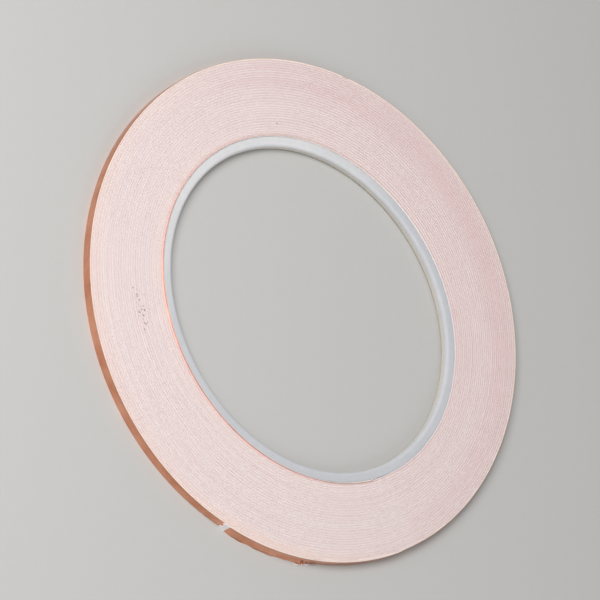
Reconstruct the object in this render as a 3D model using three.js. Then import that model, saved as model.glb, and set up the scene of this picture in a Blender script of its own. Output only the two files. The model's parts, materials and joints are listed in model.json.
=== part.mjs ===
// A roll of narrow copper foil tape for stained glass work, lying flat on its side.
// Lengths are in millimetres and angles in degrees, counted anticlockwise from +X as seen from above.
// +Z is up. The origin is the centre of the roll, on the surface that it lies on.
import * as THREE from "three";

// --- The tape ---
const TAPE_WIDTH = 2.5; // the winding is as high as the tape is wide
const FOIL_GAUGE = 0.036;
const ADHESIVE_GAUGE = 0.03;
const LINER_GAUGE = 0.12;

// --- The roll ---
const ROLL_DIAMETER = 120; // over the free tail
const DRAWN_TURNS = 7; // each stands for about fifteen real ones
const SEGMENTS_PER_TURN = 48;

// --- The core ---
const CORE_BORE = 76.2;
const CORE_WALL = 2.4;
const CORE_PROUD = 0.1; // how far its upper face stands above the winding
const CORE_CHAMFER = 0.3;
const OUT_OF_ROUND = 1.5; // added to its radius the long way, taken off across it
const LONG_WAY = 19; // direction of the long way
const OFF_CENTRE = 0.5; // how far it sits from the middle of the roll
const OFF_CENTRE_WAY = -10; // direction of that
const STARTER_GAUGE = 0.1; // double-sided tape that holds the first turn to the core
const STARTER_SEGMENTS = 2; // its length

// --- The free tail: the last of the tape, which peels off the winding ---
const TAIL_ROOT_ANGLE = -6.6; // where it leaves the winding
const TAIL_SPAN = 45; // from there clockwise to the cut end of the foil
const TAIL_LINKS = 5;
const SEGMENTS_PER_LINK = 3;
const TAIL_LIFT = 0.2; // how far it stands off the winding
const FOIL_END_LENGTH = 5; // the end of the foil that peels off its liner
const LINER_TAB_LENGTH = 2; // bare liner past the cut end of the foil

// --- Clearances ---
const LAYER_CLEARANCE = 0.01; // between layers of tape
const HINGE_GAP = 0.1; // between links, along the tape

// --- Worked out from the sizes above ---
const TAPE_GAUGE = LINER_GAUGE + ADHESIVE_GAUGE + FOIL_GAUGE;
const SEGMENT_ANGLE = 360 / SEGMENTS_PER_TURN;
const LINK_SPAN = TAIL_SPAN / TAIL_LINKS;
const CORE_RADIUS = CORE_BORE / 2 + CORE_WALL;
const STARTER_RADIUS = CORE_RADIUS + LAYER_CLEARANCE;
const PACK_INNER_RADIUS = STARTER_RADIUS + STARTER_GAUGE + LAYER_CLEARANCE;
const TAIL_RADIUS = ROLL_DIAMETER / 2 - TAPE_GAUGE; // the tail's inner face
const PACK_OUTER_RADIUS = TAIL_RADIUS - TAIL_LIFT;
const TURN_PITCH = (PACK_OUTER_RADIUS - PACK_INNER_RADIUS) / DRAWN_TURNS;

// The tape's layers from the inside out: each one's share of the tape's thickness.
const LAYERS = {
  liner: { gauge: LINER_GAUGE, below: 0 },
  adhesive: { gauge: ADHESIVE_GAUGE, below: LINER_GAUGE },
  foil: { gauge: FOIL_GAUGE, below: LINER_GAUGE + ADHESIVE_GAUGE },
};

function coreMaterial() {
  return new THREE.MeshStandardMaterial({ color: 0xd6dde0, roughness: 0.42 });
}

function starterMaterial() {
  return new THREE.MeshStandardMaterial({ color: 0xe8e4d8, roughness: 0.7 });
}

function foilMaterial() {
  return new THREE.MeshStandardMaterial({ color: 0xc9744a, roughness: 0.25, metalness: 1 });
}

function adhesiveMaterial() {
  return new THREE.MeshStandardMaterial({ color: 0xd9c3a5, roughness: 0.3 });
}

function linerMaterial() {
  return new THREE.MeshStandardMaterial({ color: 0xefe2dd, roughness: 0.8 });
}

const LAYER_MATERIALS = {
  liner: linerMaterial,
  adhesive: adhesiveMaterial,
  foil: foilMaterial,
};

// The core is a little out of round and off centre, and the winding on it grows rounder turn by
// turn, so a nominal radius gets the whole of that at the core and none of it at the outside.
function radiusAt(nominalRadius, angle) {
  const wound = (PACK_OUTER_RADIUS - nominalRadius) / (PACK_OUTER_RADIUS - PACK_INNER_RADIUS);
  const share = THREE.MathUtils.clamp(wound, 0, 1);
  const fromLongWay = THREE.MathUtils.degToRad(angle - LONG_WAY);
  const fromOffCentre = THREE.MathUtils.degToRad(angle - OFF_CENTRE_WAY);
  const added = OUT_OF_ROUND * Math.cos(2 * fromLongWay) + OFF_CENTRE * Math.cos(fromOffCentre);
  return nominalRadius + share * added;
}

function pointAt(nominalRadius, angle) {
  const radius = radiusAt(nominalRadius, angle);
  const turned = THREE.MathUtils.degToRad(angle);
  return new THREE.Vector2(radius * Math.cos(turned), radius * Math.sin(turned));
}

// The angle that a length along the tail takes up.
function tailAngle(length) {
  return THREE.MathUtils.radToDeg(length / TAIL_RADIUS);
}

// Angles from low to high, with every whole number of steps from the tail's root between them.
// Pieces that lie against each other share these angles, so their flats do too.
function anglesBetween(low, high, step) {
  const angles = [low];
  const firstStep = Math.floor((low - TAIL_ROOT_ANGLE) / step) + 1;
  for (let i = firstStep; TAIL_ROOT_ANGLE + i * step < high - 1e-6; i += 1) {
    const angle = TAIL_ROOT_ANGLE + i * step;
    if (angle > low + 1e-6) angles.push(angle);
  }
  angles.push(high);
  return angles;
}

function extruded(shape, depth) {
  return new THREE.ExtrudeGeometry(shape, { depth, bevelEnabled: false });
}

// A strip of tape on edge: out along its outer face and back along its inner one.
function stripGeometry(angles, innerAt, outerAt) {
  const outerFace = angles.map((angle) => pointAt(outerAt(angle), angle));
  const innerFace = angles.map((angle) => pointAt(innerAt(angle), angle)).reverse();
  return extruded(new THREE.Shape([...outerFace, ...innerFace]), TAPE_WIDTH);
}

function namedMesh(name, geometry, material) {
  const mesh = new THREE.Mesh(geometry, material);
  mesh.name = name;
  return mesh;
}

function circlePath(PathClass, nominalRadius) {
  const start = TAIL_ROOT_ANGLE;
  const angles = anglesBetween(start, start + 360, SEGMENT_ANGLE).slice(0, -1);
  return new PathClass(angles.map((angle) => pointAt(nominalRadius, angle)));
}

// The moulded ring that the tape is wound on, with a small chamfer on all four edges.
function core() {
  const outline = circlePath(THREE.Shape, CORE_RADIUS);
  outline.holes.push(circlePath(THREE.Path, CORE_BORE / 2));
  const geometry = new THREE.ExtrudeGeometry(outline, {
    depth: TAPE_WIDTH + CORE_PROUD - 2 * CORE_CHAMFER,
    bevelSegments: 1,
    bevelThickness: CORE_CHAMFER,
    bevelSize: CORE_CHAMFER,
    bevelOffset: -CORE_CHAMFER,
  });
  const mesh = namedMesh("core", geometry, coreMaterial());
  mesh.position.z = CORE_CHAMFER;
  return mesh;
}

// Winding angle in turns, from the start of the first turn on the core, where the strip that stands
// for many turns has no thickness yet, to DRAWN_TURNS + 1, where it has none left.
const LAST_TURN = DRAWN_TURNS + 1 - TAPE_GAUGE / TURN_PITCH; // here it is one real tape thick
const WOUND_SEGMENTS = Math.floor((LAST_TURN - TAPE_GAUGE / TURN_PITCH) * SEGMENTS_PER_TURN);
const START_ANGLE = TAIL_ROOT_ANGLE + WOUND_SEGMENTS * SEGMENT_ANGLE;

function turnAt(angle) {
  return LAST_TURN - (angle - TAIL_ROOT_ANGLE) / 360;
}

// Over the last turn the tape lifts off the winding, to meet the free tail.
function liftAt(turn) {
  return Math.max(0, turn - DRAWN_TURNS) * (TAIL_LIFT + TAPE_GAUGE);
}

function packRadius(turn) {
  return PACK_INNER_RADIUS + THREE.MathUtils.clamp(turn, 0, DRAWN_TURNS) * TURN_PITCH;
}

// A layer's inner face lies this share of the way through the tape, and its outer face this one.
function layerFaces(layer, innerRadius, outerRadius) {
  const { gauge, below } = LAYERS[layer];
  const thickness = outerRadius - innerRadius;
  return {
    inner: innerRadius + (thickness * below) / TAPE_GAUGE + LAYER_CLEARANCE / 2,
    outer: innerRadius + (thickness * (below + gauge)) / TAPE_GAUGE - LAYER_CLEARANCE / 2,
  };
}

// One layer of the wound tape, as a single strip that winds from the core to the tail's root.
function windingLayer(layer) {
  const rootEnd = TAIL_ROOT_ANGLE + tailAngle(HINGE_GAP / 2);
  const angles = anglesBetween(rootEnd, START_ANGLE, SEGMENT_ANGLE);
  const facesAt = (angle) => {
    const turn = turnAt(angle);
    const lift = liftAt(turn);
    return layerFaces(layer, packRadius(turn - 1) + lift, packRadius(turn) + lift);
  };
  const geometry = stripGeometry(
    angles,
    (angle) => facesAt(angle).inner,
    (angle) => facesAt(angle).outer,
  );
  return namedMesh(`${layer}_winding`, geometry, LAYER_MATERIALS[layer]());
}

// A patch of double-sided tape under the start of the first turn.
function starterTape() {
  const angles = anglesBetween(
    START_ANGLE - STARTER_SEGMENTS * SEGMENT_ANGLE,
    START_ANGLE,
    SEGMENT_ANGLE,
  );
  const geometry = stripGeometry(
    angles,
    () => STARTER_RADIUS,
    () => STARTER_RADIUS + STARTER_GAUGE,
  );
  return namedMesh("core_starter_tape", geometry, starterMaterial());
}

// A length of one layer of the free tail, between two angles.
function tailStrip(name, layer, low, high) {
  const faces = layerFaces(layer, TAIL_RADIUS, TAIL_RADIUS + TAPE_GAUGE);
  const geometry = stripGeometry(
    anglesBetween(low, high, LINK_SPAN / SEGMENTS_PER_LINK),
    () => faces.inner,
    () => faces.outer,
  );
  return namedMesh(name, geometry, LAYER_MATERIALS[layer]());
}

// One link of the free tail reaches clockwise from its hinge. The gap at a hinge is shared by the
// pieces on both sides of it. The last link has the bare tab of liner, and in its two other layers
// it is cut once more, where the end of the foil hinges off the liner with its adhesive.
function tailLink(link) {
  const group = new THREE.Group();
  const halfGap = tailAngle(HINGE_GAP / 2);
  const isLast = link === TAIL_LINKS;
  const hinge = TAIL_ROOT_ANGLE - (link - 1) * LINK_SPAN;
  const end = hinge - LINK_SPAN;
  const peelHinge = end + tailAngle(FOIL_END_LENGTH);
  const linerEnd = end + (isLast ? -tailAngle(LINER_TAB_LENGTH) : halfGap);
  group.add(tailStrip(`liner_tail_${link}`, "liner", linerEnd, hinge - halfGap));
  for (const layer of ["adhesive", "foil"]) {
    const low = (isLast ? peelHinge : end) + halfGap;
    group.add(tailStrip(`${layer}_tail_${link}`, layer, low, hinge - halfGap));
    if (isLast) group.add(tailStrip(`${layer}_end`, layer, end, peelHinge - halfGap));
  }
  return group;
}

function woundTape() {
  const group = new THREE.Group();
  for (const layer of Object.keys(LAYERS)) group.add(windingLayer(layer));
  return group;
}

function freeTail() {
  const group = new THREE.Group();
  for (let link = 1; link <= TAIL_LINKS; link += 1) group.add(tailLink(link));
  return group;
}

const roll = new THREE.Group();
roll.add(core(), starterTape(), woundTape(), freeTail());

export default roll;
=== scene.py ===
"""A roll of narrow copper foil tape for stained glass work, lying flat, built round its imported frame.

Lengths are in metres and angles in degrees, counted anticlockwise from +X as seen from above.
A place on the tape is its winding angle: the degrees wound between it and the cut end of the foil.
A share up is 0 at the lower edge of the tape and 1 at its upper edge.
"""

import json
import math

import bpy
import numpy as np
from bpy.props import FloatProperty, FloatVectorProperty, IntProperty, PointerProperty
from mathutils import Matrix, Vector


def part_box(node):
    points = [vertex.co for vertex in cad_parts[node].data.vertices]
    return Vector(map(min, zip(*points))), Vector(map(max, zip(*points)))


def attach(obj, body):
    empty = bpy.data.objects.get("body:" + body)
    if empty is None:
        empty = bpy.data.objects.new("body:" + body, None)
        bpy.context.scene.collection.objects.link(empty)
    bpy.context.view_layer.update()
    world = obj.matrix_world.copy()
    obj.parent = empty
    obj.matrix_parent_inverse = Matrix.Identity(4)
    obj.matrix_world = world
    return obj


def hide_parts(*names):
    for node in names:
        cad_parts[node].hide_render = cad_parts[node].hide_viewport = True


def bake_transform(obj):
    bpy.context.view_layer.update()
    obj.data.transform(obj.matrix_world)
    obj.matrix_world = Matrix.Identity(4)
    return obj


bl_info = {
    "name": "Copper foil tape roll",
    "version": (1, 0, 0),
    "blender": (4, 5, 0),
    "location": "3D View > Sidebar > Tape Roll",
    "description": "Builds a roll of copper foil tape with its core, its paper liner and its free end",
    "category": "Add Mesh",
}

MM = 0.001

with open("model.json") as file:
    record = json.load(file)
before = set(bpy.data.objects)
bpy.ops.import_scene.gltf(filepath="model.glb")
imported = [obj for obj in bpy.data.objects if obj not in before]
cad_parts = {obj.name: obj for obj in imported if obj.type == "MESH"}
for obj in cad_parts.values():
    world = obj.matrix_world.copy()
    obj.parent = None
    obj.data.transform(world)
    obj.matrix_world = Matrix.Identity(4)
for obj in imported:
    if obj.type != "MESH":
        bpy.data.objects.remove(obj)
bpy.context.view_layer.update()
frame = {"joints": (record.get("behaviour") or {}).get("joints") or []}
JOINTS = {joint["name"]: joint for joint in frame["joints"]}


def joint_angle(name):
    """Where round the roll a hinge stands."""
    x, y, _ = JOINTS[name]["pos_m"]
    return math.degrees(math.atan2(y, x))


def node_height(name):
    """How high a node of the frame reaches above the surface that the roll lies on."""
    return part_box(name)[1].z


# --- Read from the frame ---
ROLL_RADIUS = math.hypot(*JOINTS["tail_peel"]["pos_m"][:2])
TAPE_WIDTH = node_height("foil_winding")
CORE_HEIGHT = node_height("core")
TAIL_LINKS = 1 + sum(name.startswith("tail_bend_") for name in JOINTS)
ROOT_ANGLE = joint_angle("tail_peel")
LINK_SPAN = ROOT_ANGLE - joint_angle("tail_bend_2")
TAIL_SPAN = TAIL_LINKS * LINK_SPAN
FOIL_END_ANGLE = ROOT_ANGLE - TAIL_SPAN
PEEL_PLACE = joint_angle("foil_peel") - FOIL_END_ANGLE

LAYERS = ("liner", "adhesive", "foil")


def linear(code):
    """The linear RGBA of an sRGB hex colour."""
    shares = [int(code[i : i + 2], 16) / 255 for i in (1, 3, 5)]
    return (*(s / 12.92 if s <= 0.04045 else ((s + 0.055) / 1.055) ** 2.4 for s in shares), 1.0)


def length(name, description, millimetres):
    """A length that a user can set."""
    return FloatProperty(
        name=name, description=description, default=millimetres * MM, unit="LENGTH", precision=6
    )


def direction(name, description, degrees):
    """A direction that a user can set, in degrees from +X."""
    return FloatProperty(name=name, description=description, default=degrees)


def colour(name, description, code):
    """A colour that a user can set."""
    return FloatVectorProperty(
        name=name, description=description, default=linear(code), subtype="COLOR", size=4
    )


class TapeSizes(bpy.types.PropertyGroup):
    """The tape, as it lies on the roll."""

    liner_gauge: length("Liner", "Thickness of the paper liner", 0.12)
    adhesive_gauge: length("Adhesive", "Thickness of the adhesive coat", 0.03)
    foil_gauge: length("Foil", "Thickness of the copper foil", 0.036)
    starter_gauge: length("Starter", "Thickness of the tape under the first turn", 0.1)
    starter_length: length("Starter length", "Length of the tape under the first turn", 10)
    clearance: length("Clearance", "Room between neighbouring pieces", 0.01)
    tail_lift: length("Tail lift", "From the tail to the winding's outside, in the frame", 0.2)
    liner_tab: length("Liner tab", "Bare liner past the cut end of the foil", 1.8)
    edge_wander: length("Edge wander", "How far turns stand above and below their middle", 0.032)
    outer_drop: length("Outer drop", "How far the winding falls away towards its outside", 0.12)
    outer_drop_width: length("Outer drop width", "How far in from the outside it reaches", 2.4)
    first_foil_proud: length("First foil", "How far the first turn's foil stands up", 0.3)
    first_liner_proud: length("First liner", "How far the first turn's liner stands up", 0.1)
    curl: length("Curl", "How far the outside turn's upper edge leans in", 0.13)
    bridge: length("Bridge", "Length over which the tape steps up over its own start", 2.2)
    curl_width: length("Curl width", "How far in from the outside the turns lean", 1.0)
    tail_flare: length("Tail flare", "How far the tail's lower edge stands out", 0.5)


class CoreSizes(bpy.types.PropertyGroup):
    """The plastic core."""

    bore: length("Bore", "Inside diameter", 76.2)
    wall: length("Wall", "Thickness of the ring", 2.4)
    outer_rounding: length("Outer rounding", "Radius of its two edges under the tape", 0.12)
    bore_rounding: length("Bore rounding", "Radius of its two edges at the bore", 0.8)
    out_of_round: length("Out of round", "Added to its radius the long way, taken off across", 1.5)
    long_way: direction("Long way", "Direction of its longer axis", 19)
    off_centre: length("Off centre", "How far it sits from the middle of the roll", 0.5)
    off_centre_way: direction("Off centre way", "Direction of that", -10)


class RollColours(bpy.types.PropertyGroup):
    """Colours of the roll and of the floor."""

    foil: colour("Foil", "Bright rolled copper", "#E8AC8E")
    liner: colour("Liner", "Silicone-coated liner paper", "#EDE9EB")
    # Copper dust, and painted shade: this colour is laid on more heavily on the far side of the roll.
    liner_dust: colour("Liner dust", "Its slit edge where copper dust clings to it", "#D9B6BC")
    # Painted highlight: the lighter, peach colour laid on the slit edge where the bare copper beside it
    # glints.
    liner_glow: colour("Liner glow", "Its slit edge next to the bare outside copper", "#FBDFD2")
    dirt: colour("Dirt", "A few grains of dirt on the winding", "#5A4E48")
    adhesive: colour("Adhesive", "Clear acrylic adhesive", "#E2C6B4")
    core: colour("Core", "Natural polypropylene", "#C0C0C3")
    # Painted light: the lighter colour laid on the core's -X side.
    core_milky: colour("Milky core", "Its milkier side", "#D1D0D1")
    # Painted light: the lighter, warmer colour laid on the bore near its lower edge.
    core_foot: colour("Core foot", "Its bore near the lower edge", "#D3C9B8")
    starter: colour("Starter", "Tissue tape under the first turn", "#EDEAE0")
    floor: colour("Floor", "Pale plain floor", "#B8B7B5")


class ViewSettings(bpy.types.PropertyGroup):
    """Where the camera stands."""

    distance: FloatProperty(name="Distance", description="To the roll", default=0.7, unit="LENGTH")
    elevation: FloatProperty(name="Elevation", description="Above the floor", default=51.0)
    roll: FloatProperty(name="Roll", description="Turn of the camera on its side", default=65.97)
    lens: FloatProperty(name="Lens", description="Focal length in millimetres", default=183.0)
    shift_x: FloatProperty(name="Shift across", description="Of the picture", default=-0.0105)
    shift_y: FloatProperty(name="Shift up", description="Of the picture", default=0.0142)


class RollSettings(bpy.types.PropertyGroup):
    """Everything that a user can set."""

    tape: PointerProperty(type=TapeSizes)
    core: PointerProperty(type=CoreSizes)
    colours: PointerProperty(type=RollColours)
    view: PointerProperty(type=ViewSettings)
    segments: IntProperty(name="Segments", description="Steps of the mesh in one turn", default=200)
    seed: IntProperty(name="Seed", description="Picks the pattern of uneven turns", default=7)


# --- Shapes ---


def smooth(low, high, value):
    """Rises from 0 at low to 1 at high along a cubic that is level at both ends."""
    share = np.clip((value - low) / (high - low), 0, 1)
    return share * share * (3 - 2 * share)


def hump(middle, half_width, value):
    """Rises from 0 to 1 at the middle and back again, over half_width on each side."""
    return 1 - smooth(0, half_width, abs(value - middle))


def ring_pattern(knots, spacing, turn, angle):
    """Smooth values from -1 to 1 over the winding, from a grid of random knots.

    A row of knots stands every spacing turns, and its knots are spread evenly round the roll. The four
    knots round a point are mixed by a level-ended cubic each way.
    """
    around = knots.shape[1]
    row = np.clip(turn / spacing + 1, 0, len(knots) - 2)
    column = np.mod(angle / 360, 1) * around
    low_row, low_column = np.floor(row).astype(int), np.floor(column).astype(int) % around
    row_mix, column_mix = smooth(0, 1, row - np.floor(row)), smooth(0, 1, column - np.floor(column))
    next_column = (low_column + 1) % around
    low = knots[low_row, low_column] * (1 - column_mix)
    low = low + knots[low_row, next_column] * column_mix
    high = knots[low_row + 1, low_column] * (1 - column_mix)
    high = high + knots[low_row + 1, next_column] * column_mix
    return low * (1 - row_mix) + high * row_mix


def round_roll(radius, angle, height):
    """Points at that radius, angle and height, as one array."""
    turned = np.radians(angle)
    return np.stack([radius * np.cos(turned), radius * np.sin(turned), height + 0 * radius], axis=-1)


class Tape:
    """The tape's path and section, worked out from the sizes."""

    # Turns from one row of random knots to the next, and knots in a row.
    GROUP_TURNS, GROUP_KNOTS = 1.9, 7
    SINGLE_TURNS, SINGLE_KNOTS = 0.9, 90
    # How much of the edge's wander each pattern makes, and the degrees over which it starts at the tail.
    GROUP_WANDER, SINGLE_WANDER, CALM_SPAN = 0.7, 0.25, 40
    # Degrees over which the tape climbs onto the starter tape and off it, and turns that bury its lift.
    CLIMB_SPAN, CLIMB_OFF_SPAN, LIFT_TURNS = 10, 12, 8
    # Turns between which the first turn stops standing proud.
    FIRST_TURN_END = (0.5, 0.8)
    # Share of the height above which the upper edge leans in.
    LEAN_FROM = 0.66
    # Places between which the tail's flare starts and ends, its ripples as (share, waves in a turn), and
    # the power at which it, and a nick, are confined to their edge.
    FLARE_START, FLARE_END = (-3, 4), (19, 25)
    FLARE_RIPPLES = ((0.2, 41), (0.12, 97))
    EDGE_POWER = 4
    # Share of the tab that is left along its torn end, which runs in two waves as (share, radians).
    TORN_SHARE, TORN_WAVES = 0.78, ((0.16, 9), (0.06, 31))
    # Place, depth and half width in degrees of nicks in the outside turn's upper edge.
    NICKS = ((192.5, 0.35 * MM, 0.9), (23.0, 0.2 * MM, 1.0))

    # Middle and half width in degrees of the far side, which gets painted shade, of the side that faces the
    # key light, which gets painted highlight, and of the free tail's side.
    DUSTY_SIDE, BRIGHT_SIDE, TAIL_SIDE = (90, 130), (-125, 130), (-42, 44)
    # Dust everywhere, and painted shade added on the far side.
    DUST, SIDE_DUST = 0.44, 0.1
    # Turns from one line of dust to the next, turns over which the lines drift sideways, and how far.
    LINE_TURNS, DRIFT_TURNS, DRIFT = 3.3, 14, 1.8
    # How strong the lines are, how much stronger as painted shade on the far side, and the unevenness beside
    # them.
    LINE_DUST, SIDE_LINE_DUST, UNEVEN_DUST = 0.2, 0.32, 0.08
    # Painted shade of the band on the far side, with its middle and half width as shares of the turns.
    BAND_DUST, BAND = 0.34, (0.76, 0.32)
    # Dust of the early turns, the clean share of the first, and the turns between which each ends.
    EARLY_DUST, EARLY_END = 0.4, (1.5, 5)
    CLEAN_SHARE, CLEAN_END = 0.85, (0.8, 1.2)
    # Strength of the painted highlight and the depths between which it fades: all round, by the tail, on the
    # side that faces the key light.
    EDGE_GLOW, EDGE_GLOW_END = 0.9, (0.1 * MM, 0.7 * MM)
    TAIL_GLOW, TAIL_GLOW_END = 0.42, (1.2 * MM, 3.4 * MM)
    BRIGHT_GLOW, BRIGHT_GLOW_END = 0.2, (1 * MM, 6 * MM)
    # Painted highlight next to the core, more of it on the side that faces the key light, and the turns
    # between which it fades.
    CORE_GLOW, CORE_BRIGHT_GLOW, CORE_GLOW_END = 0.06, 0.16, (0, 26)

    def __init__(self, settings):
        tape, core = settings.tape, settings.core
        gauges = (tape.liner_gauge, tape.adhesive_gauge, tape.foil_gauge)
        self.sizes, self.core = tape, core
        self.step = 360 / settings.segments
        self.gauge = sum(gauges)
        self.faces = {
            layer: (sum(gauges[:i]), sum(gauges[: i + 1])) for i, layer in enumerate(LAYERS)
        }
        self.core_radius = core.bore / 2 + core.wall
        self.pack_inner = self.core_radius + tape.clearance
        self.pack_outer = ROLL_RADIUS - self.gauge - tape.tail_lift
        self.turns = math.floor((self.pack_outer - self.pack_inner) / self.gauge)
        self.pitch = (self.pack_outer - self.pack_inner) / self.turns
        self.start_place = TAIL_SPAN + self.turns * 360
        self.start_angle = FOIL_END_ANGLE + self.start_place
        self.starter_span = math.degrees(tape.starter_length / self.core_radius)
        self.bridge_turns = tape.bridge / (math.tau * self.core_radius)
        rng = np.random.default_rng(settings.seed)
        self.group_knots = self.knots(rng, self.GROUP_TURNS, self.GROUP_KNOTS)
        self.single_knots = self.knots(rng, self.SINGLE_TURNS, self.SINGLE_KNOTS)
        self.tone_knots = self.knots(rng, self.GROUP_TURNS, self.GROUP_KNOTS)
        self.fine_tone_knots = self.knots(rng, self.SINGLE_TURNS, self.SINGLE_KNOTS)

    def knots(self, rng, spacing, around):
        """Random values for ring_pattern, enough for the whole winding."""
        return rng.uniform(-1, 1, (math.ceil(self.turns / spacing) + 4, around))

    def radius(self, nominal, angle):
        """A nominal radius with the core's ovalness and offset added, which fade to none at the outside."""
        core = self.core
        wound = (self.pack_outer - nominal) / (self.pack_outer - self.pack_inner)
        oval = core.out_of_round * np.cos(np.radians(2 * (angle - core.long_way)))
        aside = core.off_centre * np.cos(np.radians(angle - core.off_centre_way))
        return nominal + np.clip(wound, 0, 1) * (oval + aside)

    def turn(self, place):
        """Turns between the start on the core and a place on the tape."""
        return self.turns - (place - TAIL_SPAN) / 360

    def inner_radius(self, place):
        """Radius of the liner's inner face, turn upon turn.

        Each turn is round, and steps up onto the one below along a short bridge, above the tape's start. It
        is lifted where the starter tape lies under it, and that lift dies away over the turns that follow.
        """
        turn = self.turn(place)
        whole = np.floor(turn + 1e-9)
        wound = whole + smooth(1 - self.bridge_turns, 1, turn - whole)
        past_start = np.mod(self.start_angle - FOIL_END_ANGLE - place, 360)
        end = self.starter_span
        over_starter = 1 - smooth(end, end + self.CLIMB_OFF_SPAN, past_start)
        over_starter = over_starter + smooth(360 - self.CLIMB_SPAN, 360, past_start) * (turn > 0.5)
        lift = (self.sizes.starter_gauge + self.sizes.clearance) * over_starter
        lift = lift * np.exp(-turn / self.LIFT_TURNS)
        return self.pack_inner + self.pitch * wound + lift

    def outside_depth(self, place):
        """How far a place on the tape lies inside the winding's outside."""
        return self.pack_outer - self.inner_radius(place)

    def edge_height(self, layer, place, angle):
        """Height of the tape's lower edge.

        It wanders with two ring patterns, falls away towards the outside, and stands proud in the first
        turn.
        """
        sizes, turn = self.sizes, self.turn(place)
        groups = ring_pattern(self.group_knots, self.GROUP_TURNS, turn, angle)
        singles = ring_pattern(self.single_knots, self.SINGLE_TURNS, turn, angle)
        uneven = 1 + self.GROUP_WANDER * groups + self.SINGLE_WANDER * singles
        wander = sizes.edge_wander * uneven
        wander = wander * smooth(TAIL_SPAN, TAIL_SPAN + self.CALM_SPAN, place)
        drop = sizes.outer_drop * smooth(0, sizes.outer_drop_width, self.outside_depth(place))
        proud = sizes.first_liner_proud if layer == "liner" else sizes.first_foil_proud
        return wander + drop + proud * (1 - smooth(*self.FIRST_TURN_END, turn))

    def lean(self, place, share_up):
        """How far the upper edge leans in: the whole curl outside, and less in each turn within."""
        outside = 1 - smooth(0, self.sizes.curl_width, self.outside_depth(place))
        return self.sizes.curl * outside * smooth(self.LEAN_FROM, 1, share_up)

    def flare(self, place, share_up):
        """How far the free tail's lower edge stands out, from the cut end to half way along, in ripples."""
        along = smooth(*self.FLARE_START, place) * (1 - smooth(*self.FLARE_END, place))
        ripple = 1
        for share, waves in self.FLARE_RIPPLES:
            ripple = ripple + share * np.sin(np.radians(place * waves))
        return self.sizes.tail_flare * along * ripple * (1 - share_up) ** self.EDGE_POWER

    def nicks(self, place, share_up):
        """How far the upper edge is pressed down at its nicks."""
        depth = sum(depth * hump(middle, half, place) for middle, depth, half in self.NICKS)
        return depth * share_up**self.EDGE_POWER

    def strip(self, layer, places, rows):
        """Loops of points round one layer at the given places.

        Each loop climbs the outer face from its lower edge and comes down the inner face. A point stands at
        the layer's radius, plus the flare and less the lean, turned by its place from the cut end.
        """
        below, above = self.faces[layer]
        share_up = np.linspace(0, 1, rows)[None, :]
        torn = self.TORN_SHARE
        for share, radians in self.TORN_WAVES:
            torn = torn + share * np.sin(radians * share_up)
        place = places[:, None] * np.where(places[:, None] < 0, torn, 1)
        angle = FOIL_END_ANGLE + place
        radius = self.inner_radius(place) + self.flare(place, share_up) - self.lean(place, share_up)
        height = self.edge_height(layer, place, angle) + share_up * TAPE_WIDTH
        height = height - self.nicks(place, share_up)
        outer = round_roll(self.radius(radius + above, angle), angle, height)
        inner = round_roll(self.radius(radius + below, angle), angle, height)
        return np.concatenate([outer, inner[:, ::-1]], axis=1)

    def dust(self, places):
        """How much copper dust clings to the liner's slit edge at each place, with painted shade added, from
        0 to 1.

        The dust comes in lines some turns apart that drift in and out, with unevenness of its own from turn
        to turn and round the roll. It is heaviest in the turns that follow the first, whose own edge is
        clean. On
        the far side painted shade is added: more of the dust colour, stronger lines, and a band near the
        outside.
        """
        angle = FOIL_END_ANGLE + places
        turn = self.turn(places)
        groups = ring_pattern(self.tone_knots, self.GROUP_TURNS, turn, angle)
        singles = ring_pattern(self.fine_tone_knots, self.SINGLE_TURNS, turn, angle)
        drift = ring_pattern(self.tone_knots, self.DRIFT_TURNS, turn, angle)
        # Painted shade: the far side gets more of the dust colour, stronger lines and a band.
        dusty = hump(*self.DUSTY_SIDE, np.mod(angle, 360))
        lines = np.cos(math.tau * turn / self.LINE_TURNS + self.DRIFT * drift)
        tone = (self.LINE_DUST + self.SIDE_LINE_DUST * dusty) * lines
        tone = tone + self.UNEVEN_DUST * (singles + groups)
        band = self.BAND_DUST * dusty * hump(*self.BAND, turn / self.turns)
        early = self.EARLY_DUST * (1 - smooth(*self.EARLY_END, turn))
        early = early - self.CLEAN_SHARE * (1 - smooth(*self.CLEAN_END, turn))
        return np.clip(self.DUST + self.SIDE_DUST * dusty + tone + band + early, 0, 1)

    def glow(self, places):
        """How much painted highlight lies on the liner's slit edge at each place, from 0 to 1: a painted
        glint of the bare copper.

        It is strong on the outermost turns, and reaches further in by the free tail and on the side that
        faces the key light.
        Next to the core the first turn's proud foil gets some painted highlight of its own.
        """
        angle = np.mod(FOIL_END_ANGLE + places + 180, 360) - 180
        depth = self.outside_depth(places)
        by_tail, bright = hump(*self.TAIL_SIDE, angle), hump(*self.BRIGHT_SIDE, angle)
        edge = self.EDGE_GLOW * (1 - smooth(*self.EDGE_GLOW_END, depth))
        wide = self.TAIL_GLOW * by_tail * (1 - smooth(*self.TAIL_GLOW_END, depth))
        soft = self.BRIGHT_GLOW * bright * (1 - smooth(*self.BRIGHT_GLOW_END, depth))
        inside = self.CORE_GLOW + self.CORE_BRIGHT_GLOW * bright
        inside = inside * (1 - smooth(*self.CORE_GLOW_END, self.turn(places)))
        return np.clip(np.maximum(edge, np.maximum(wide, soft)) + inside, 0, 1)


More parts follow.
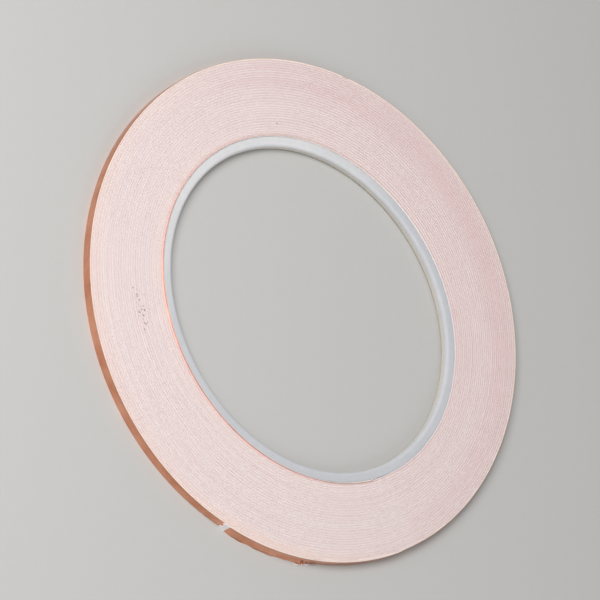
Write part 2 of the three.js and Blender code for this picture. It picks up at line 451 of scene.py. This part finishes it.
def tube_mesh(name, loops, closed, sharp):
    """A closed mesh from loops of points: a wall between each loop and the next, and a cap at each end.

    closed joins the last loop to the first and leaves out the caps. sharp holds the places round a loop
    whose long edges are crisp.
    """
    count, around, _ = loops.shape
    this = np.arange(count if closed else count - 1)[:, None]
    point = np.arange(around)[None, :]
    next_loop, next_point = (this + 1) % count, (point + 1) % around
    corners = (
        this * around + point,
        next_loop * around + point,
        next_loop * around + next_point,
        this * around + next_point,
    )
    wall = np.stack(corners, axis=2).reshape(-1, 4)
    ladder = np.arange(around // 2 - 1)
    cap = np.stack([ladder, ladder + 1, around - 2 - ladder, around - 1 - ladder], axis=1)
    far_cap = cap[:, ::-1] + (count - 1) * around
    faces = wall if closed else np.concatenate([wall, cap, far_cap])
    mesh = bpy.data.meshes.new(name)
    mesh.from_pydata(loops.reshape(-1, 3), [], faces)
    mesh.update(calc_edges=True)
    add_uv(mesh, loops, faces, len(wall))
    mark_sharp(mesh, count, around, closed, sharp)
    piece = bpy.data.objects.new(name, mesh)
    bpy.context.scene.collection.objects.link(piece)
    return piece


def add_uv(mesh, loops, faces, wall_faces):
    """Lays the wall out flat, with metres along the tube in U and metres round it in V."""
    count, around, _ = loops.shape
    steps = np.linalg.norm(np.roll(loops[:, 0], -1, axis=0) - loops[:, 0], axis=1)
    girth = np.linalg.norm(np.roll(loops[0], -1, axis=0) - loops[0], axis=1)
    along = np.concatenate([[0], np.cumsum(steps)])
    across = np.concatenate([[0], np.cumsum(girth)])
    u, v = along[faces // around], across[faces % around]
    wall_u, wall_v = u[:wall_faces], v[:wall_faces]
    wall_u[:, 1:3] = np.where(wall_u[:, 1:3] < wall_u[:, :1], along[-1], wall_u[:, 1:3])
    wall_v[:, 2:] = np.where(wall_v[:, 2:] < wall_v[:, :1], across[-1], wall_v[:, 2:])
    layer = mesh.uv_layers.new(name="UVMap")
    layer.data.foreach_set("uv", np.stack([u, v], axis=2).astype(np.float32).ravel())


def mark_sharp(mesh, count, around, closed, sharp):
    """Shades the wall smooth, apart from the long edges at the sharp places and the rims of the caps."""
    mesh.polygons.foreach_set("use_smooth", np.ones(len(mesh.polygons), bool))
    ends = np.empty(len(mesh.edges) * 2, int)
    mesh.edges.foreach_get("vertices", ends)
    ends = ends.reshape(-1, 2)
    place = ends % around
    crisp = (place[:, 0] == place[:, 1]) & np.isin(place[:, 0], sharp)
    if not closed:
        crisp |= (ends < around).all(axis=1) | (ends >= (count - 1) * around).all(axis=1)
    attribute = mesh.attributes.new("sharp_edge", "BOOLEAN", "EDGE")
    attribute.data.foreach_set("value", crisp)


def add_shares(piece, name, shares):
    """Stores a share for each loop of the tube, for its material to read."""
    mesh = piece.data
    each = np.repeat(shares, len(mesh.vertices) // len(shares))
    attribute = mesh.attributes.new(name, "FLOAT", "POINT")
    attribute.data.foreach_set("value", each.astype(np.float32))


# --- Materials ---

# Most of a noise lies in this range.
NOISE_RANGE = {"From Min": 0.3, "From Max": 0.7}


def add_node(tree, kind, inputs=None, output=0, **settings):
    """Adds a node, sets its properties, fills its inputs, and gives one of its outputs.

    A socket is linked to the input, and any other value is set on it.
    """
    node = tree.nodes.new(kind)
    for name, value in settings.items():
        setattr(node, name, value)
    for name, value in (inputs or {}).items():
        if isinstance(value, bpy.types.NodeSocket):
            tree.links.new(value, node.inputs[name])
        else:
            node.inputs[name].default_value = value
    return node.outputs[output] if node.outputs else None


def new_material(name):
    """An empty material, as (material, node tree)."""
    material = bpy.data.materials.new(name)
    material.use_nodes = True
    material.node_tree.nodes.clear()
    return material, material.node_tree


def shaded(colour, *shares):
    """A colour with its red, green and blue multiplied."""
    return (*(c * s for c, s in zip(colour, shares)), 1.0)


def copper_foil(colours):
    """Bright rolled copper foil: metal with fine lines along its length, slight waves and dull patches."""
    material, tree = new_material("rolled_copper_foil")
    uv = add_node(tree, "ShaderNodeTexCoord", output="UV")
    place = add_node(tree, "ShaderNodeTexCoord", output="Object")
    # Rolling lines are some micrometres apart; these are 0.05 mm, so that they can be seen.
    long = add_node(tree, "ShaderNodeMapping", {"Vector": uv, "Scale": (0.02, 1, 1)})
    line_size = {"Vector": long, "Scale": 1 / (0.05 * MM), "Detail": 3.0}
    lines = add_node(tree, "ShaderNodeTexNoise", line_size)
    patch_size = {"Vector": place, "Scale": 1 / (5 * MM), "Detail": 4.0}
    patches = add_node(tree, "ShaderNodeTexNoise", patch_size)
    waves = add_node(tree, "ShaderNodeTexNoise", {"Vector": place, "Scale": 1 / (2.5 * MM)})
    # The foil arrives bright, and fingers leave it duller and browner in patches.
    tarnish_range = {"Value": patches, **NOISE_RANGE, "To Min": 0.0, "To Max": 0.8}
    tarnish = add_node(tree, "ShaderNodeMapRange", tarnish_range)
    dull = shaded(colours.foil, 0.72, 0.56, 0.48)
    tint = {0: tarnish, 6: tuple(colours.foil), 7: dull}
    metal = add_node(tree, "ShaderNodeMix", tint, output=2, data_type="RGBA")
    rough_range = {"Value": lines, **NOISE_RANGE, "To Min": 0.16, "To Max": 0.32}
    rough = add_node(tree, "ShaderNodeMapRange", rough_range)
    relief_parts = {0: lines, 1: 0.06, 2: waves}
    relief = add_node(tree, "ShaderNodeMath", relief_parts, operation="MULTIPLY_ADD")
    normal = add_node(tree, "ShaderNodeBump", {"Height": relief, "Distance": 0.04 * MM})
    surface = {"Base Color": metal, "Metallic": 1.0, "Roughness": rough, "Normal": normal}
    shader = add_node(tree, "ShaderNodeBsdfPrincipled", surface)
    add_node(tree, "ShaderNodeOutputMaterial", {"Surface": shader})
    return material


# Where dirt lies: patches with sparse dots in them, and larger grains, each with its middle and spread.
DIRT_PATCHES = (
    ((-0.0112, -0.0458, 0.0026), 0.0022),
    ((-0.0142, -0.0446, 0.0026), 0.0028),
    ((-0.0176, -0.0443, 0.0026), 0.0024),
)
DIRT_GRAINS = (
    ((-0.0419, 0.0123, 0.0026), 0.0003),
    ((-0.0142, -0.0441, 0.0026), 0.00034),
    ((-0.0180, -0.0443, 0.0026), 0.0003),
    ((-0.0131, -0.0449, 0.0026), 0.0003),
    ((-0.0115, -0.0455, 0.0026), 0.0003),
    ((-0.0103, -0.0462, 0.0026), 0.00028),
    ((-0.0197, -0.0445, 0.0026), 0.00028),
)


def dirt(tree, place):
    """Dirt on the winding: 1 at the middle of each dot or grain, and 0 away from them."""
    cells = add_node(tree, "ShaderNodeTexVoronoi", {"Vector": place, "Scale": 1 / (0.8 * MM)})
    dot_size = {"Value": cells, "From Min": 0.1, "From Max": 0.3, "To Min": 1.0, "To Max": 0.0}
    dots = add_node(tree, "ShaderNodeMapRange", dot_size)
    found = 0.0
    for point, spread in (*DIRT_PATCHES, *DIRT_GRAINS):
        ends = {0: place, 1: point}
        away = add_node(tree, "ShaderNodeVectorMath", ends, output=1, operation="DISTANCE")
        fade = {"Value": away, "From Min": spread * 0.3, "From Max": spread}
        fade.update({"To Min": 0.9, "To Max": 0.0})
        soiled = add_node(tree, "ShaderNodeMapRange", fade)
        if (point, spread) in DIRT_PATCHES:
            soiled = add_node(tree, "ShaderNodeMath", {0: soiled, 1: dots}, operation="MULTIPLY")
        found = add_node(tree, "ShaderNodeMath", {0: found, 1: soiled}, operation="MAXIMUM")
    return found


def liner_paper(colours):
    """Silicone-coated liner paper: a matt white face, and a fibrous slit edge that copper dust tints, with
    painted shade on the far side and painted highlight beside the bare copper.
    """
    material, tree = new_material("siliconised_liner_paper")
    uv = add_node(tree, "ShaderNodeTexCoord", output="UV")
    place = add_node(tree, "ShaderNodeTexCoord", output="Object")
    dust = add_node(tree, "ShaderNodeAttribute", output="Fac", attribute_name="copper_dust")
    # Paper fibres are about 0.02 mm across; these are 0.1 mm, so that they can be seen.
    fibre_size = {"Vector": place, "Scale": 1 / (0.1 * MM), "Detail": 4.0, "Roughness": 0.65}
    fibres = add_node(tree, "ShaderNodeTexNoise", fibre_size)
    # The slitting knife leaves the edge rough in dashes some millimetres long.
    along = add_node(tree, "ShaderNodeMapping", {"Vector": uv, "Scale": (1, 0.02, 1)})
    dash_size = {"Vector": along, "Scale": 1 / (1.6 * MM), "Detail": 3.0}
    dashes = add_node(tree, "ShaderNodeTexNoise", dash_size)
    fibre_range = {"Value": fibres, **NOISE_RANGE, "To Min": 0.75, "To Max": 1.25}
    fibre_share = add_node(tree, "ShaderNodeMapRange", fibre_range)
    dash_range = {"Value": dashes, **NOISE_RANGE, "To Min": 0.7, "To Max": 1.3}
    dash_share = add_node(tree, "ShaderNodeMapRange", dash_range)
    uneven = {0: fibre_share, 1: dash_share}
    share = add_node(tree, "ShaderNodeMath", uneven, operation="MULTIPLY")
    # Copper dust on the slit edge, with painted shade added on the far side.
    dusted = {0: dust, 1: share}
    amount = add_node(tree, "ShaderNodeMath", dusted, operation="MULTIPLY", use_clamp=True)
    clean = {0: amount, 6: tuple(colours.liner), 7: tuple(colours.liner_dust)}
    paper = add_node(tree, "ShaderNodeMix", clean, output=2, data_type="RGBA")
    # Painted highlight: the slit edge is painted lighter and peach where the bare copper beside it glints.
    glow = add_node(tree, "ShaderNodeAttribute", output="Fac", attribute_name="copper_glow")
    lit = {0: glow, 6: paper, 7: tuple(colours.liner_glow)}
    warm = add_node(tree, "ShaderNodeMix", lit, output=2, data_type="RGBA")
    soiled = {0: dirt(tree, place), 6: warm, 7: tuple(colours.dirt)}
    colour = add_node(tree, "ShaderNodeMix", soiled, output=2, data_type="RGBA")
    normal = add_node(tree, "ShaderNodeBump", {"Height": fibres, "Distance": 0.015 * MM})
    surface = {"Base Color": colour, "Roughness": 0.6, "IOR": 1.45, "Normal": normal}
    shader = add_node(tree, "ShaderNodeBsdfPrincipled", surface)
    add_node(tree, "ShaderNodeOutputMaterial", {"Surface": shader})
    return material


def acrylic_adhesive(colours):
    """Clear acrylic adhesive: glossy, faintly amber, with trapped bubbles that break its shine."""
    material, tree = new_material("acrylic_adhesive")
    place = add_node(tree, "ShaderNodeTexCoord", output="Object")
    bubble_size = {"Vector": place, "Scale": 1 / (0.3 * MM), "Detail": 3.0}
    bubbles = add_node(tree, "ShaderNodeTexNoise", bubble_size)
    clouded = shaded(colours.adhesive, 0.9, 0.84, 0.8)
    tint = {0: bubbles, 6: tuple(colours.adhesive), 7: clouded}
    colour = add_node(tree, "ShaderNodeMix", tint, output=2, data_type="RGBA")
    rough_range = {"Value": bubbles, **NOISE_RANGE, "To Min": 0.2, "To Max": 0.45}
    rough = add_node(tree, "ShaderNodeMapRange", rough_range)
    normal = add_node(tree, "ShaderNodeBump", {"Height": bubbles, "Distance": 0.01 * MM})
    surface = {"Base Color": colour, "Roughness": rough, "IOR": 1.47, "Normal": normal}
    shader = add_node(tree, "ShaderNodeBsdfPrincipled", surface)
    add_node(tree, "ShaderNodeOutputMaterial", {"Surface": shader})
    return material


def natural_polypropylene(colours):
    """Core tube of natural polypropylene, cut off on a lathe: milk-white, satin, with faint rings and
    scuffs, and painted light on its -X side and low in its bore.
    """
    material, tree = new_material("natural_polypropylene")
    uv = add_node(tree, "ShaderNodeTexCoord", output="UV")
    place = add_node(tree, "ShaderNodeTexCoord", output="Object")
    # The knife leaves rings a few hundredths of a millimetre apart; these are 0.2 mm.
    long = add_node(tree, "ShaderNodeMapping", {"Vector": uv, "Scale": (0.01, 1, 1)})
    rings = add_node(tree, "ShaderNodeTexNoise", {"Vector": long, "Scale": 1 / (0.2 * MM)})
    scuff_size = {"Vector": place, "Scale": 1 / (1.8 * MM), "Detail": 4.0}
    scuffs = add_node(tree, "ShaderNodeTexNoise", scuff_size)
    clouds = add_node(tree, "ShaderNodeTexNoise", {"Vector": place, "Scale": 1 / (14 * MM)})
    marks = add_node(tree, "ShaderNodeMath", {0: rings, 1: scuffs}, operation="ADD")
    mottle = {0: marks, 1: clouds}
    mottled = add_node(tree, "ShaderNodeMath", mottle, operation="ADD")
    shade_range = {"Value": mottled, "From Min": 1.1, "From Max": 1.9, "To Min": 0.0, "To Max": 1.0}
    shade_share = add_node(tree, "ShaderNodeMapRange", shade_range)
    # Painted light: the core is painted lighter towards its -X side.
    across = add_node(tree, "ShaderNodeSeparateXYZ", {"Vector": place}, output="X")
    side = {"Value": across, "From Min": -0.01, "From Max": -0.034, "To Min": 0.0, "To Max": 1.0}
    milky_share = add_node(tree, "ShaderNodeMapRange", side)
    sides = {0: milky_share, 6: tuple(colours.core), 7: tuple(colours.core_milky)}
    milky = add_node(tree, "ShaderNodeMix", sides, output=2, data_type="RGBA")
    # Painted light: the bore is painted lighter and warmer towards its lower edge.
    up = add_node(tree, "ShaderNodeSeparateXYZ", {"Vector": place}, output="Z")
    low = {"Value": up, "From Min": 2.1 * MM, "From Max": 0.5 * MM, "To Min": 0.0, "To Max": 1.0}
    low_share = add_node(tree, "ShaderNodeMapRange", low)
    yellowed = {0: low_share, 6: milky, 7: tuple(colours.core_foot)}
    aged = add_node(tree, "ShaderNodeMix", yellowed, output=2, data_type="RGBA")
    shade = {0: shade_share, 6: (1.0, 1.0, 1.0, 1.0), 7: (0.9, 0.92, 0.93, 1.0)}
    mottle_tint = add_node(tree, "ShaderNodeMix", shade, output=2, data_type="RGBA")
    tinted = {0: 1.0, 6: aged, 7: mottle_tint}
    colour = add_node(
        tree, "ShaderNodeMix", tinted, output=2, data_type="RGBA", blend_type="MULTIPLY"
    )
    rough_range = {"Value": scuffs, **NOISE_RANGE, "To Min": 0.68, "To Max": 0.82}
    rough = add_node(tree, "ShaderNodeMapRange", rough_range)
    normal = add_node(tree, "ShaderNodeBump", {"Height": marks, "Distance": 0.01 * MM})
    # Light goes a little way into natural polypropylene, and that softens its edges.
    surface = {
        "Base Color": colour,
        "Roughness": rough,
        "IOR": 1.49,
        "Subsurface Weight": 0.6,
        "Subsurface Radius": (1.0, 1.0, 1.0),
        "Subsurface Scale": 1.2 * MM,
        "Normal": normal,
    }
    shader = add_node(tree, "ShaderNodeBsdfPrincipled", surface)
    add_node(tree, "ShaderNodeOutputMaterial", {"Surface": shader})
    return material


def tissue_tape(colours):
    """Double-sided tissue tape: matt, with the long fibres of its tissue."""
    material, tree = new_material("tissue_tape")
    uv = add_node(tree, "ShaderNodeTexCoord", output="UV")
    long = add_node(tree, "ShaderNodeMapping", {"Vector": uv, "Scale": (0.15, 1, 1)})
    fibre_size = {"Vector": long, "Scale": 1 / (0.08 * MM), "Detail": 4.0}
    fibres = add_node(tree, "ShaderNodeTexNoise", fibre_size)
    shade = shaded(colours.starter, 0.82, 0.82, 0.8)
    tint = {0: fibres, 6: tuple(colours.starter), 7: shade}
    colour = add_node(tree, "ShaderNodeMix", tint, output=2, data_type="RGBA")
    normal = add_node(tree, "ShaderNodeBump", {"Height": fibres, "Distance": 0.01 * MM})
    surface = {"Base Color": colour, "Roughness": 0.7, "Normal": normal}
    shader = add_node(tree, "ShaderNodeBsdfPrincipled", surface)
    add_node(tree, "ShaderNodeOutputMaterial", {"Surface": shader})
    return material


def pale_floor(colours):
    """A plain pale floor with a faint grain."""
    material, tree = new_material("pale_floor")
    place = add_node(tree, "ShaderNodeTexCoord", output="Object")
    grain = add_node(tree, "ShaderNodeTexNoise", {"Vector": place, "Scale": 1 / (2 * MM)})
    shade = shaded(colours.floor, 0.97, 0.97, 0.97)
    tint = {0: grain, 6: tuple(colours.floor), 7: shade}
    colour = add_node(tree, "ShaderNodeMix", tint, output=2, data_type="RGBA")
    surface = {"Base Color": colour, "Roughness": 0.6}
    shader = add_node(tree, "ShaderNodeBsdfPrincipled", surface)
    add_node(tree, "ShaderNodeOutputMaterial", {"Surface": shader})
    return material


LAYER_LOOKS = {
    "liner": (liner_paper, "siliconised_liner_paper", "liner_paper"),
    "adhesive": (acrylic_adhesive, "acrylic_adhesive", "acrylic_adhesive"),
    "foil": (copper_foil, "rolled_copper_foil", "copper_foil"),
}


def dress_layer(piece, layer, colours):
    """Gives a piece of tape its layer's material, made once."""
    make, name, slot = LAYER_LOOKS[layer]
    piece.data.materials.append(bpy.data.materials.get(name) or make(colours))


# --- Operators ---


def settings_of(context):
    """The roll's settings in this scene."""
    return context.scene.tape_roll


class TAPEROLL_OT_core(bpy.types.Operator):
    """The plastic ring inside the roll."""

    bl_idname = "tape_roll.core"
    bl_label = "Core"

    ROUNDING_STEPS = 7

    def execute(self, context):
        settings = settings_of(context)
        tape = Tape(settings)
        angles = np.arange(0, 360, tape.step / 2)
        piece = tube_mesh("core_ring", self.loops(tape, angles), closed=True, sharp=[])
        piece.data.materials.append(natural_polypropylene(settings.colours))
        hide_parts("core")
        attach(piece, "roll")
        return {"FINISHED"}

    def loops(self, tape, angles):
        """A rectangle with round corners, carried round the core.

        Each corner is a quarter circle about its own centre, from the outer lower corner on.
        """
        outside, bore = tape.core.outer_rounding, tape.core.bore_rounding
        inner, outer = tape.core.bore / 2, tape.core_radius
        corners = (
            (outside, outer - outside, outside, -90),
            (outside, outer - outside, CORE_HEIGHT - outside, 0),
            (bore, inner + bore, CORE_HEIGHT - bore, 90),
            (bore, inner + bore, bore, 180),
        )
        radii, heights = [], []
        for rounding, centre_radius, centre_height, start in corners:
            turned = np.radians(start + np.linspace(0, 90, self.ROUNDING_STEPS))
            radii.append(centre_radius + rounding * np.cos(turned))
            heights.append(centre_height + rounding * np.sin(turned))
        angle = angles[:, None]
        radius = tape.radius(np.concatenate(radii)[None, :], angle)
        return round_roll(radius, angle, np.concatenate(heights)[None, :])


class TAPEROLL_OT_starter(bpy.types.Operator):
    """The patch of double-sided tape under the start of the first turn."""

    bl_idname = "tape_roll.starter"
    bl_label = "Starter tape"

    STATIONS = 24
    STUCK_OUT = 2.0

    def execute(self, context):
        settings = settings_of(context)
        tape = Tape(settings)
        start, past = tape.start_angle, self.STUCK_OUT
        angle = np.linspace(start - tape.starter_span, start + past, self.STATIONS)[:, None]
        inner = tape.core_radius + settings.tape.clearance / 2
        nominal = inner + np.array([[1, 1, 0, 0]]) * settings.tape.starter_gauge
        height = np.array([[0, 1, 1, 0]]) * TAPE_WIDTH
        loops = round_roll(tape.radius(nominal, angle), angle, height)
        piece = tube_mesh("starter_tape", loops, closed=False, sharp=[0, 1, 2, 3])
        piece.data.materials.append(tissue_tape(settings.colours))
        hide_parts("core_starter_tape")
        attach(piece, "roll")
        return {"FINISHED"}


class TAPEROLL_OT_winding(bpy.types.Operator):
    """The wound tape: each layer is one strip from the core to the free tail, finer in its outside turn."""

    bl_idname = "tape_roll.winding"
    bl_label = "Winding"

    # Degrees from one loop to the next in the outside turn, its rows, and the place where it ends.
    OUTSIDE_STEP = 0.5
    OUTSIDE_ROWS = 10
    OUTSIDE_END = 378
    INSIDE_ROWS = 2

    def execute(self, context):
        settings = settings_of(context)
        tape = Tape(settings)
        outside = np.arange(TAIL_SPAN + LINK_SPAN / 2, self.OUTSIDE_END, self.OUTSIDE_STEP)
        inside = np.arange(outside[-1], tape.start_place, tape.step)
        for layer in LAYERS:
            self.add_stretch(
                tape, layer, f"wound_{layer}", inside, self.INSIDE_ROWS, settings.colours
            )
            self.add_stretch(
                tape, layer, f"outside_{layer}", outside, self.OUTSIDE_ROWS, settings.colours
            )
        return {"FINISHED"}

    def add_stretch(self, tape, layer, name, places, rows, colours):
        """One stretch of one layer."""
        corners = [0, rows - 1, rows, 2 * rows - 1]
        piece = tube_mesh(name, tape.strip(layer, places, rows), closed=False, sharp=corners)
        if layer == "liner":
            # Copper dust on the liner's slit edge, with painted shade on the far side, stored for its
            # material.
            add_shares(piece, "copper_dust", tape.dust(places))
            # Painted highlight on the liner's slit edge, stored for its material.
            add_shares(piece, "copper_glow", tape.glow(places))
        dress_layer(piece, layer, colours)
        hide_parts(f"{layer}_winding")
        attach(piece, "roll")


class TAPEROLL_OT_tail(bpy.types.Operator):
    """The free tail, in one piece per hinge, and the foil's end."""

    bl_idname = "tape_roll.tail"
    bl_label = "Free tail"

    ROWS = 14
    STATIONS_PER_DEGREE = 2

    def execute(self, context):
        settings = settings_of(context)
        tape = Tape(settings)
        for layer in LAYERS:
            for stretch in self.stretches(layer, settings.tape):
                self.add_stretch(tape, layer, stretch, settings.colours)
        return {"FINISHED"}

    def stretches(self, layer, sizes):
        """Pieces of one layer, each across one hinge: (node, bodies, bend start, bend end, low, high).

        The last four are places; the first link's bend starts at its hinge, and the others' at their high
        end.
        """
        found = []
        last_cut = (PEEL_PLACE + LINK_SPAN) / 2
        tab = math.degrees(sizes.liner_tab / ROLL_RADIUS)
        for link in range(1, TAIL_LINKS + 1):
            hinge = TAIL_SPAN - (link - 1) * LINK_SPAN
            low = hinge - LINK_SPAN / 2
            if link == TAIL_LINKS:
                low = -tab if layer == "liner" else last_cut
            bodies = ("roll" if link == 1 else f"tail_{link - 1}", f"tail_{link}")
            high = hinge + LINK_SPAN / 2
            bend_start = hinge if link == 1 else high
            bend_end = max(hinge - LINK_SPAN / 2, last_cut)
            found.append((f"{layer}_tail_{link}", bodies, bend_start, bend_end, low, high))
        if layer != "liner":
            bodies = (f"tail_{TAIL_LINKS}", "foil_end")
            found.append((f"{layer}_end", bodies, PEEL_PLACE, PEEL_PLACE / 2, 0, last_cut))
        return found

    def add_stretch(self, tape, layer, stretch, colours):
        """One stretch, between its low and high places."""
        node, bodies, bend_start, bend_end, low, high = stretch
        places = np.linspace(low, high, math.ceil((high - low) * self.STATIONS_PER_DEGREE) + 1)
        loops = tape.strip(layer, places, self.ROWS)
        corners = [0, self.ROWS - 1, self.ROWS, 2 * self.ROWS - 1]
        piece = tube_mesh(f"free_{node}", loops, closed=False, sharp=corners)
        dress_layer(piece, layer, colours)
        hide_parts(node)
        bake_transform(piece)

    @staticmethod
    def point(place):
        """The point on the tail's outer face at that place."""
        return tuple(round_roll(ROLL_RADIUS, FOIL_END_ANGLE + place, 0))


class TAPEROLL_OT_shreds(bpy.types.Operator):
    """Shreds that the slitting knife left hanging on the lower edge of the free tail."""

    bl_idname = "tape_roll.shreds"
    bl_label = "Shreds"

    STATIONS = 28
    # How far a shred dips as a share of its bow, and the width left at its ends as a share of its own.
    DIP_SHARE, END_WIDTH = 0.3, 0.25
    # Layer, place, length, how far it bows out, height of its middle, width and thickness.
    SHREDS = (
        ("liner", 19.0, 1.7 * MM, 0.3 * MM, 0.16 * MM, 0.16 * MM, 0.06 * MM),
        ("foil", 20.4, 0.9 * MM, 0.3 * MM, 0.26 * MM, 0.16 * MM, 0.04 * MM),
        ("liner", 21.7, 0.9 * MM, 0.36 * MM, 0.2 * MM, 0.26 * MM, 0.08 * MM),
        ("foil", 23.2, 1.7 * MM, 0.24 * MM, 0.3 * MM, 0.14 * MM, 0.04 * MM),
    )

    def execute(self, context):
        settings = settings_of(context)
        tape = Tape(settings)
        for number, shred in enumerate(self.SHREDS, 1):
            self.add_shred(tape, number, shred, settings.colours)
        return {"FINISHED"}

    def add_shred(self, tape, number, shred, colours):
        """One shred: a thin strip that leaves the edge, bows out along half a sine, and comes back.

        It dips and rises by a share of its bow along a whole sine, and narrows towards its ends along a
        parabola.
        """
        layer, place, long, bow, height, width, thickness = shred
        share = np.linspace(0, 1, self.STATIONS)[:, None]
        places = place + np.degrees((share - 0.5) * long / ROLL_RADIUS)
        out = bow * np.sin(np.pi * share)
        edge = tape.inner_radius(places) + tape.gauge + tape.flare(places, 0)
        middle = np.maximum(height - bow * self.DIP_SHARE * np.sin(2 * np.pi * share), width / 2)
        across = np.array([[1, 1, -1, -1]]) * thickness / 2
        width_share = np.clip(6 * share * (1 - share) + self.END_WIDTH, 0, 1)
        up = np.array([[-1, 1, 1, -1]]) * width / 2 * width_share
        loops = round_roll(edge + out + across, FOIL_END_ANGLE + places, middle + up)
        piece = tube_mesh(f"shred_{number}", loops, closed=False, sharp=[0, 1, 2, 3])
        dress_layer(piece, layer, colours)
        link = TAIL_LINKS - math.floor(place / LINK_SPAN)
        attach(piece, f"tail_{link}")


class TAPEROLL_OT_stage(bpy.types.Operator):
    """The floor, the soft lights and the camera."""

    bl_idname = "tape_roll.stage"
    bl_label = "Stage"

    FLOOR_SIZE = 6.0
    # Name, place, side length and power in watts.
    LIGHTS = (
        ("key_light", (-0.26, -0.33, 0.5), 0.4, 4.5),
        ("fill_light", (1.0, -0.1, 0.7), 0.8, 3.4),
    )
    SKY_STRENGTH = 0.31
    SENSOR_WIDTH = 36
    NEAR, FAR = 0.01, 20

    def execute(self, context):
        settings = settings_of(context)
        self.add_floor(settings.colours)
        for light in self.LIGHTS:
            self.add_light(*light)
        self.add_sky(context.scene, self.SKY_STRENGTH)
        self.add_camera(context.scene, settings.view)
        context.scene.view_settings.view_transform = "Standard"
        return {"FINISHED"}

    def add_floor(self, colours):
        """One large square."""
        half = self.FLOOR_SIZE / 2
        mesh = bpy.data.meshes.new("floor")
        corners = [(-half, -half, 0), (half, -half, 0), (half, half, 0), (-half, half, 0)]
        mesh.from_pydata(corners, [], [(0, 1, 2, 3)])
        mesh.materials.append(pale_floor(colours))
        floor = bpy.data.objects.new("floor", mesh)
        bpy.context.scene.collection.objects.link(floor)

    def add_light(self, name, place, size, power):
        """A square soft light that faces the roll."""
        data = bpy.data.lights.new(name, "AREA")
        data.size, data.energy = size, power
        light = bpy.data.objects.new(name, data)
        light.location = place
        light.rotation_euler = (-Vector(place)).to_track_quat("-Z", "Y").to_euler()
        bpy.context.scene.collection.objects.link(light)

    def add_sky(self, scene, strength):
        """An even white surround."""
        world = bpy.data.worlds.new("studio")
        world.use_nodes = True
        background = world.node_tree.nodes["Background"]
        background.inputs["Color"].default_value = (1, 1, 1, 1)
        background.inputs["Strength"].default_value = strength
        scene.world = world

    def add_camera(self, scene, view):
        """A long lens that looks at the roll's centre from -Y, turned on its side."""
        elevation, roll = math.radians(view.elevation), math.radians(view.roll)
        forward = Vector((0, math.cos(elevation), -math.sin(elevation)))
        right = Vector((1, 0, 0))
        up = right.cross(forward)
        across = math.cos(roll) * right + math.sin(roll) * up
        down = math.sin(roll) * right - math.cos(roll) * up
        data = bpy.data.cameras.new("camera")
        data.lens, data.sensor_width = view.lens, self.SENSOR_WIDTH
        data.shift_x, data.shift_y = view.shift_x, view.shift_y
        data.clip_start, data.clip_end = self.NEAR, self.FAR
        camera = bpy.data.objects.new("camera", data)
        turn = Matrix((across, -down, -forward)).transposed().to_4x4()
        camera.matrix_world = Matrix.Translation(-forward * view.distance) @ turn
        scene.collection.objects.link(camera)
        scene.camera = camera


class TAPEROLL_PT_sidebar(bpy.types.Panel):
    """Lists the sizes, the colours and the steps of building the roll."""

    bl_idname = "TAPEROLL_PT_sidebar"
    bl_label = "Copper foil tape roll"
    bl_space_type = "VIEW_3D"
    bl_region_type = "UI"
    bl_category = "Tape Roll"

    def draw(self, context):
        settings = settings_of(context)
        for group in (settings.tape, settings.core, settings.colours, settings.view):
            box = self.layout.box()
            for name in group.__annotations__:
                box.prop(group, name)
        self.layout.prop(settings, "segments")
        self.layout.prop(settings, "seed")
        for operator in OPERATORS:
            self.layout.operator(operator.bl_idname)


OPERATORS = (
    TAPEROLL_OT_core,
    TAPEROLL_OT_starter,
    TAPEROLL_OT_winding,
    TAPEROLL_OT_tail,
    TAPEROLL_OT_shreds,
    TAPEROLL_OT_stage,
)
CLASSES = (
    TapeSizes,
    CoreSizes,
    RollColours,
    ViewSettings,
    RollSettings,
    *OPERATORS,
    TAPEROLL_PT_sidebar,
)


def register():
    """Registers the classes and hangs the settings on the scene."""
    for cls in CLASSES:
        bpy.utils.register_class(cls)
    bpy.types.Scene.tape_roll = PointerProperty(type=RollSettings)


def unregister():
    """Takes the settings and the classes away again."""
    del bpy.types.Scene.tape_roll
    for cls in reversed(CLASSES):
        bpy.utils.unregister_class(cls)


def main():
    """Builds every piece."""
    register()
    bpy.ops.tape_roll.core()
    bpy.ops.tape_roll.starter()
    bpy.ops.tape_roll.winding()
    bpy.ops.tape_roll.tail()
    bpy.ops.tape_roll.shreds()
    bpy.ops.tape_roll.stage()


if __name__ == "__main__":
    main()
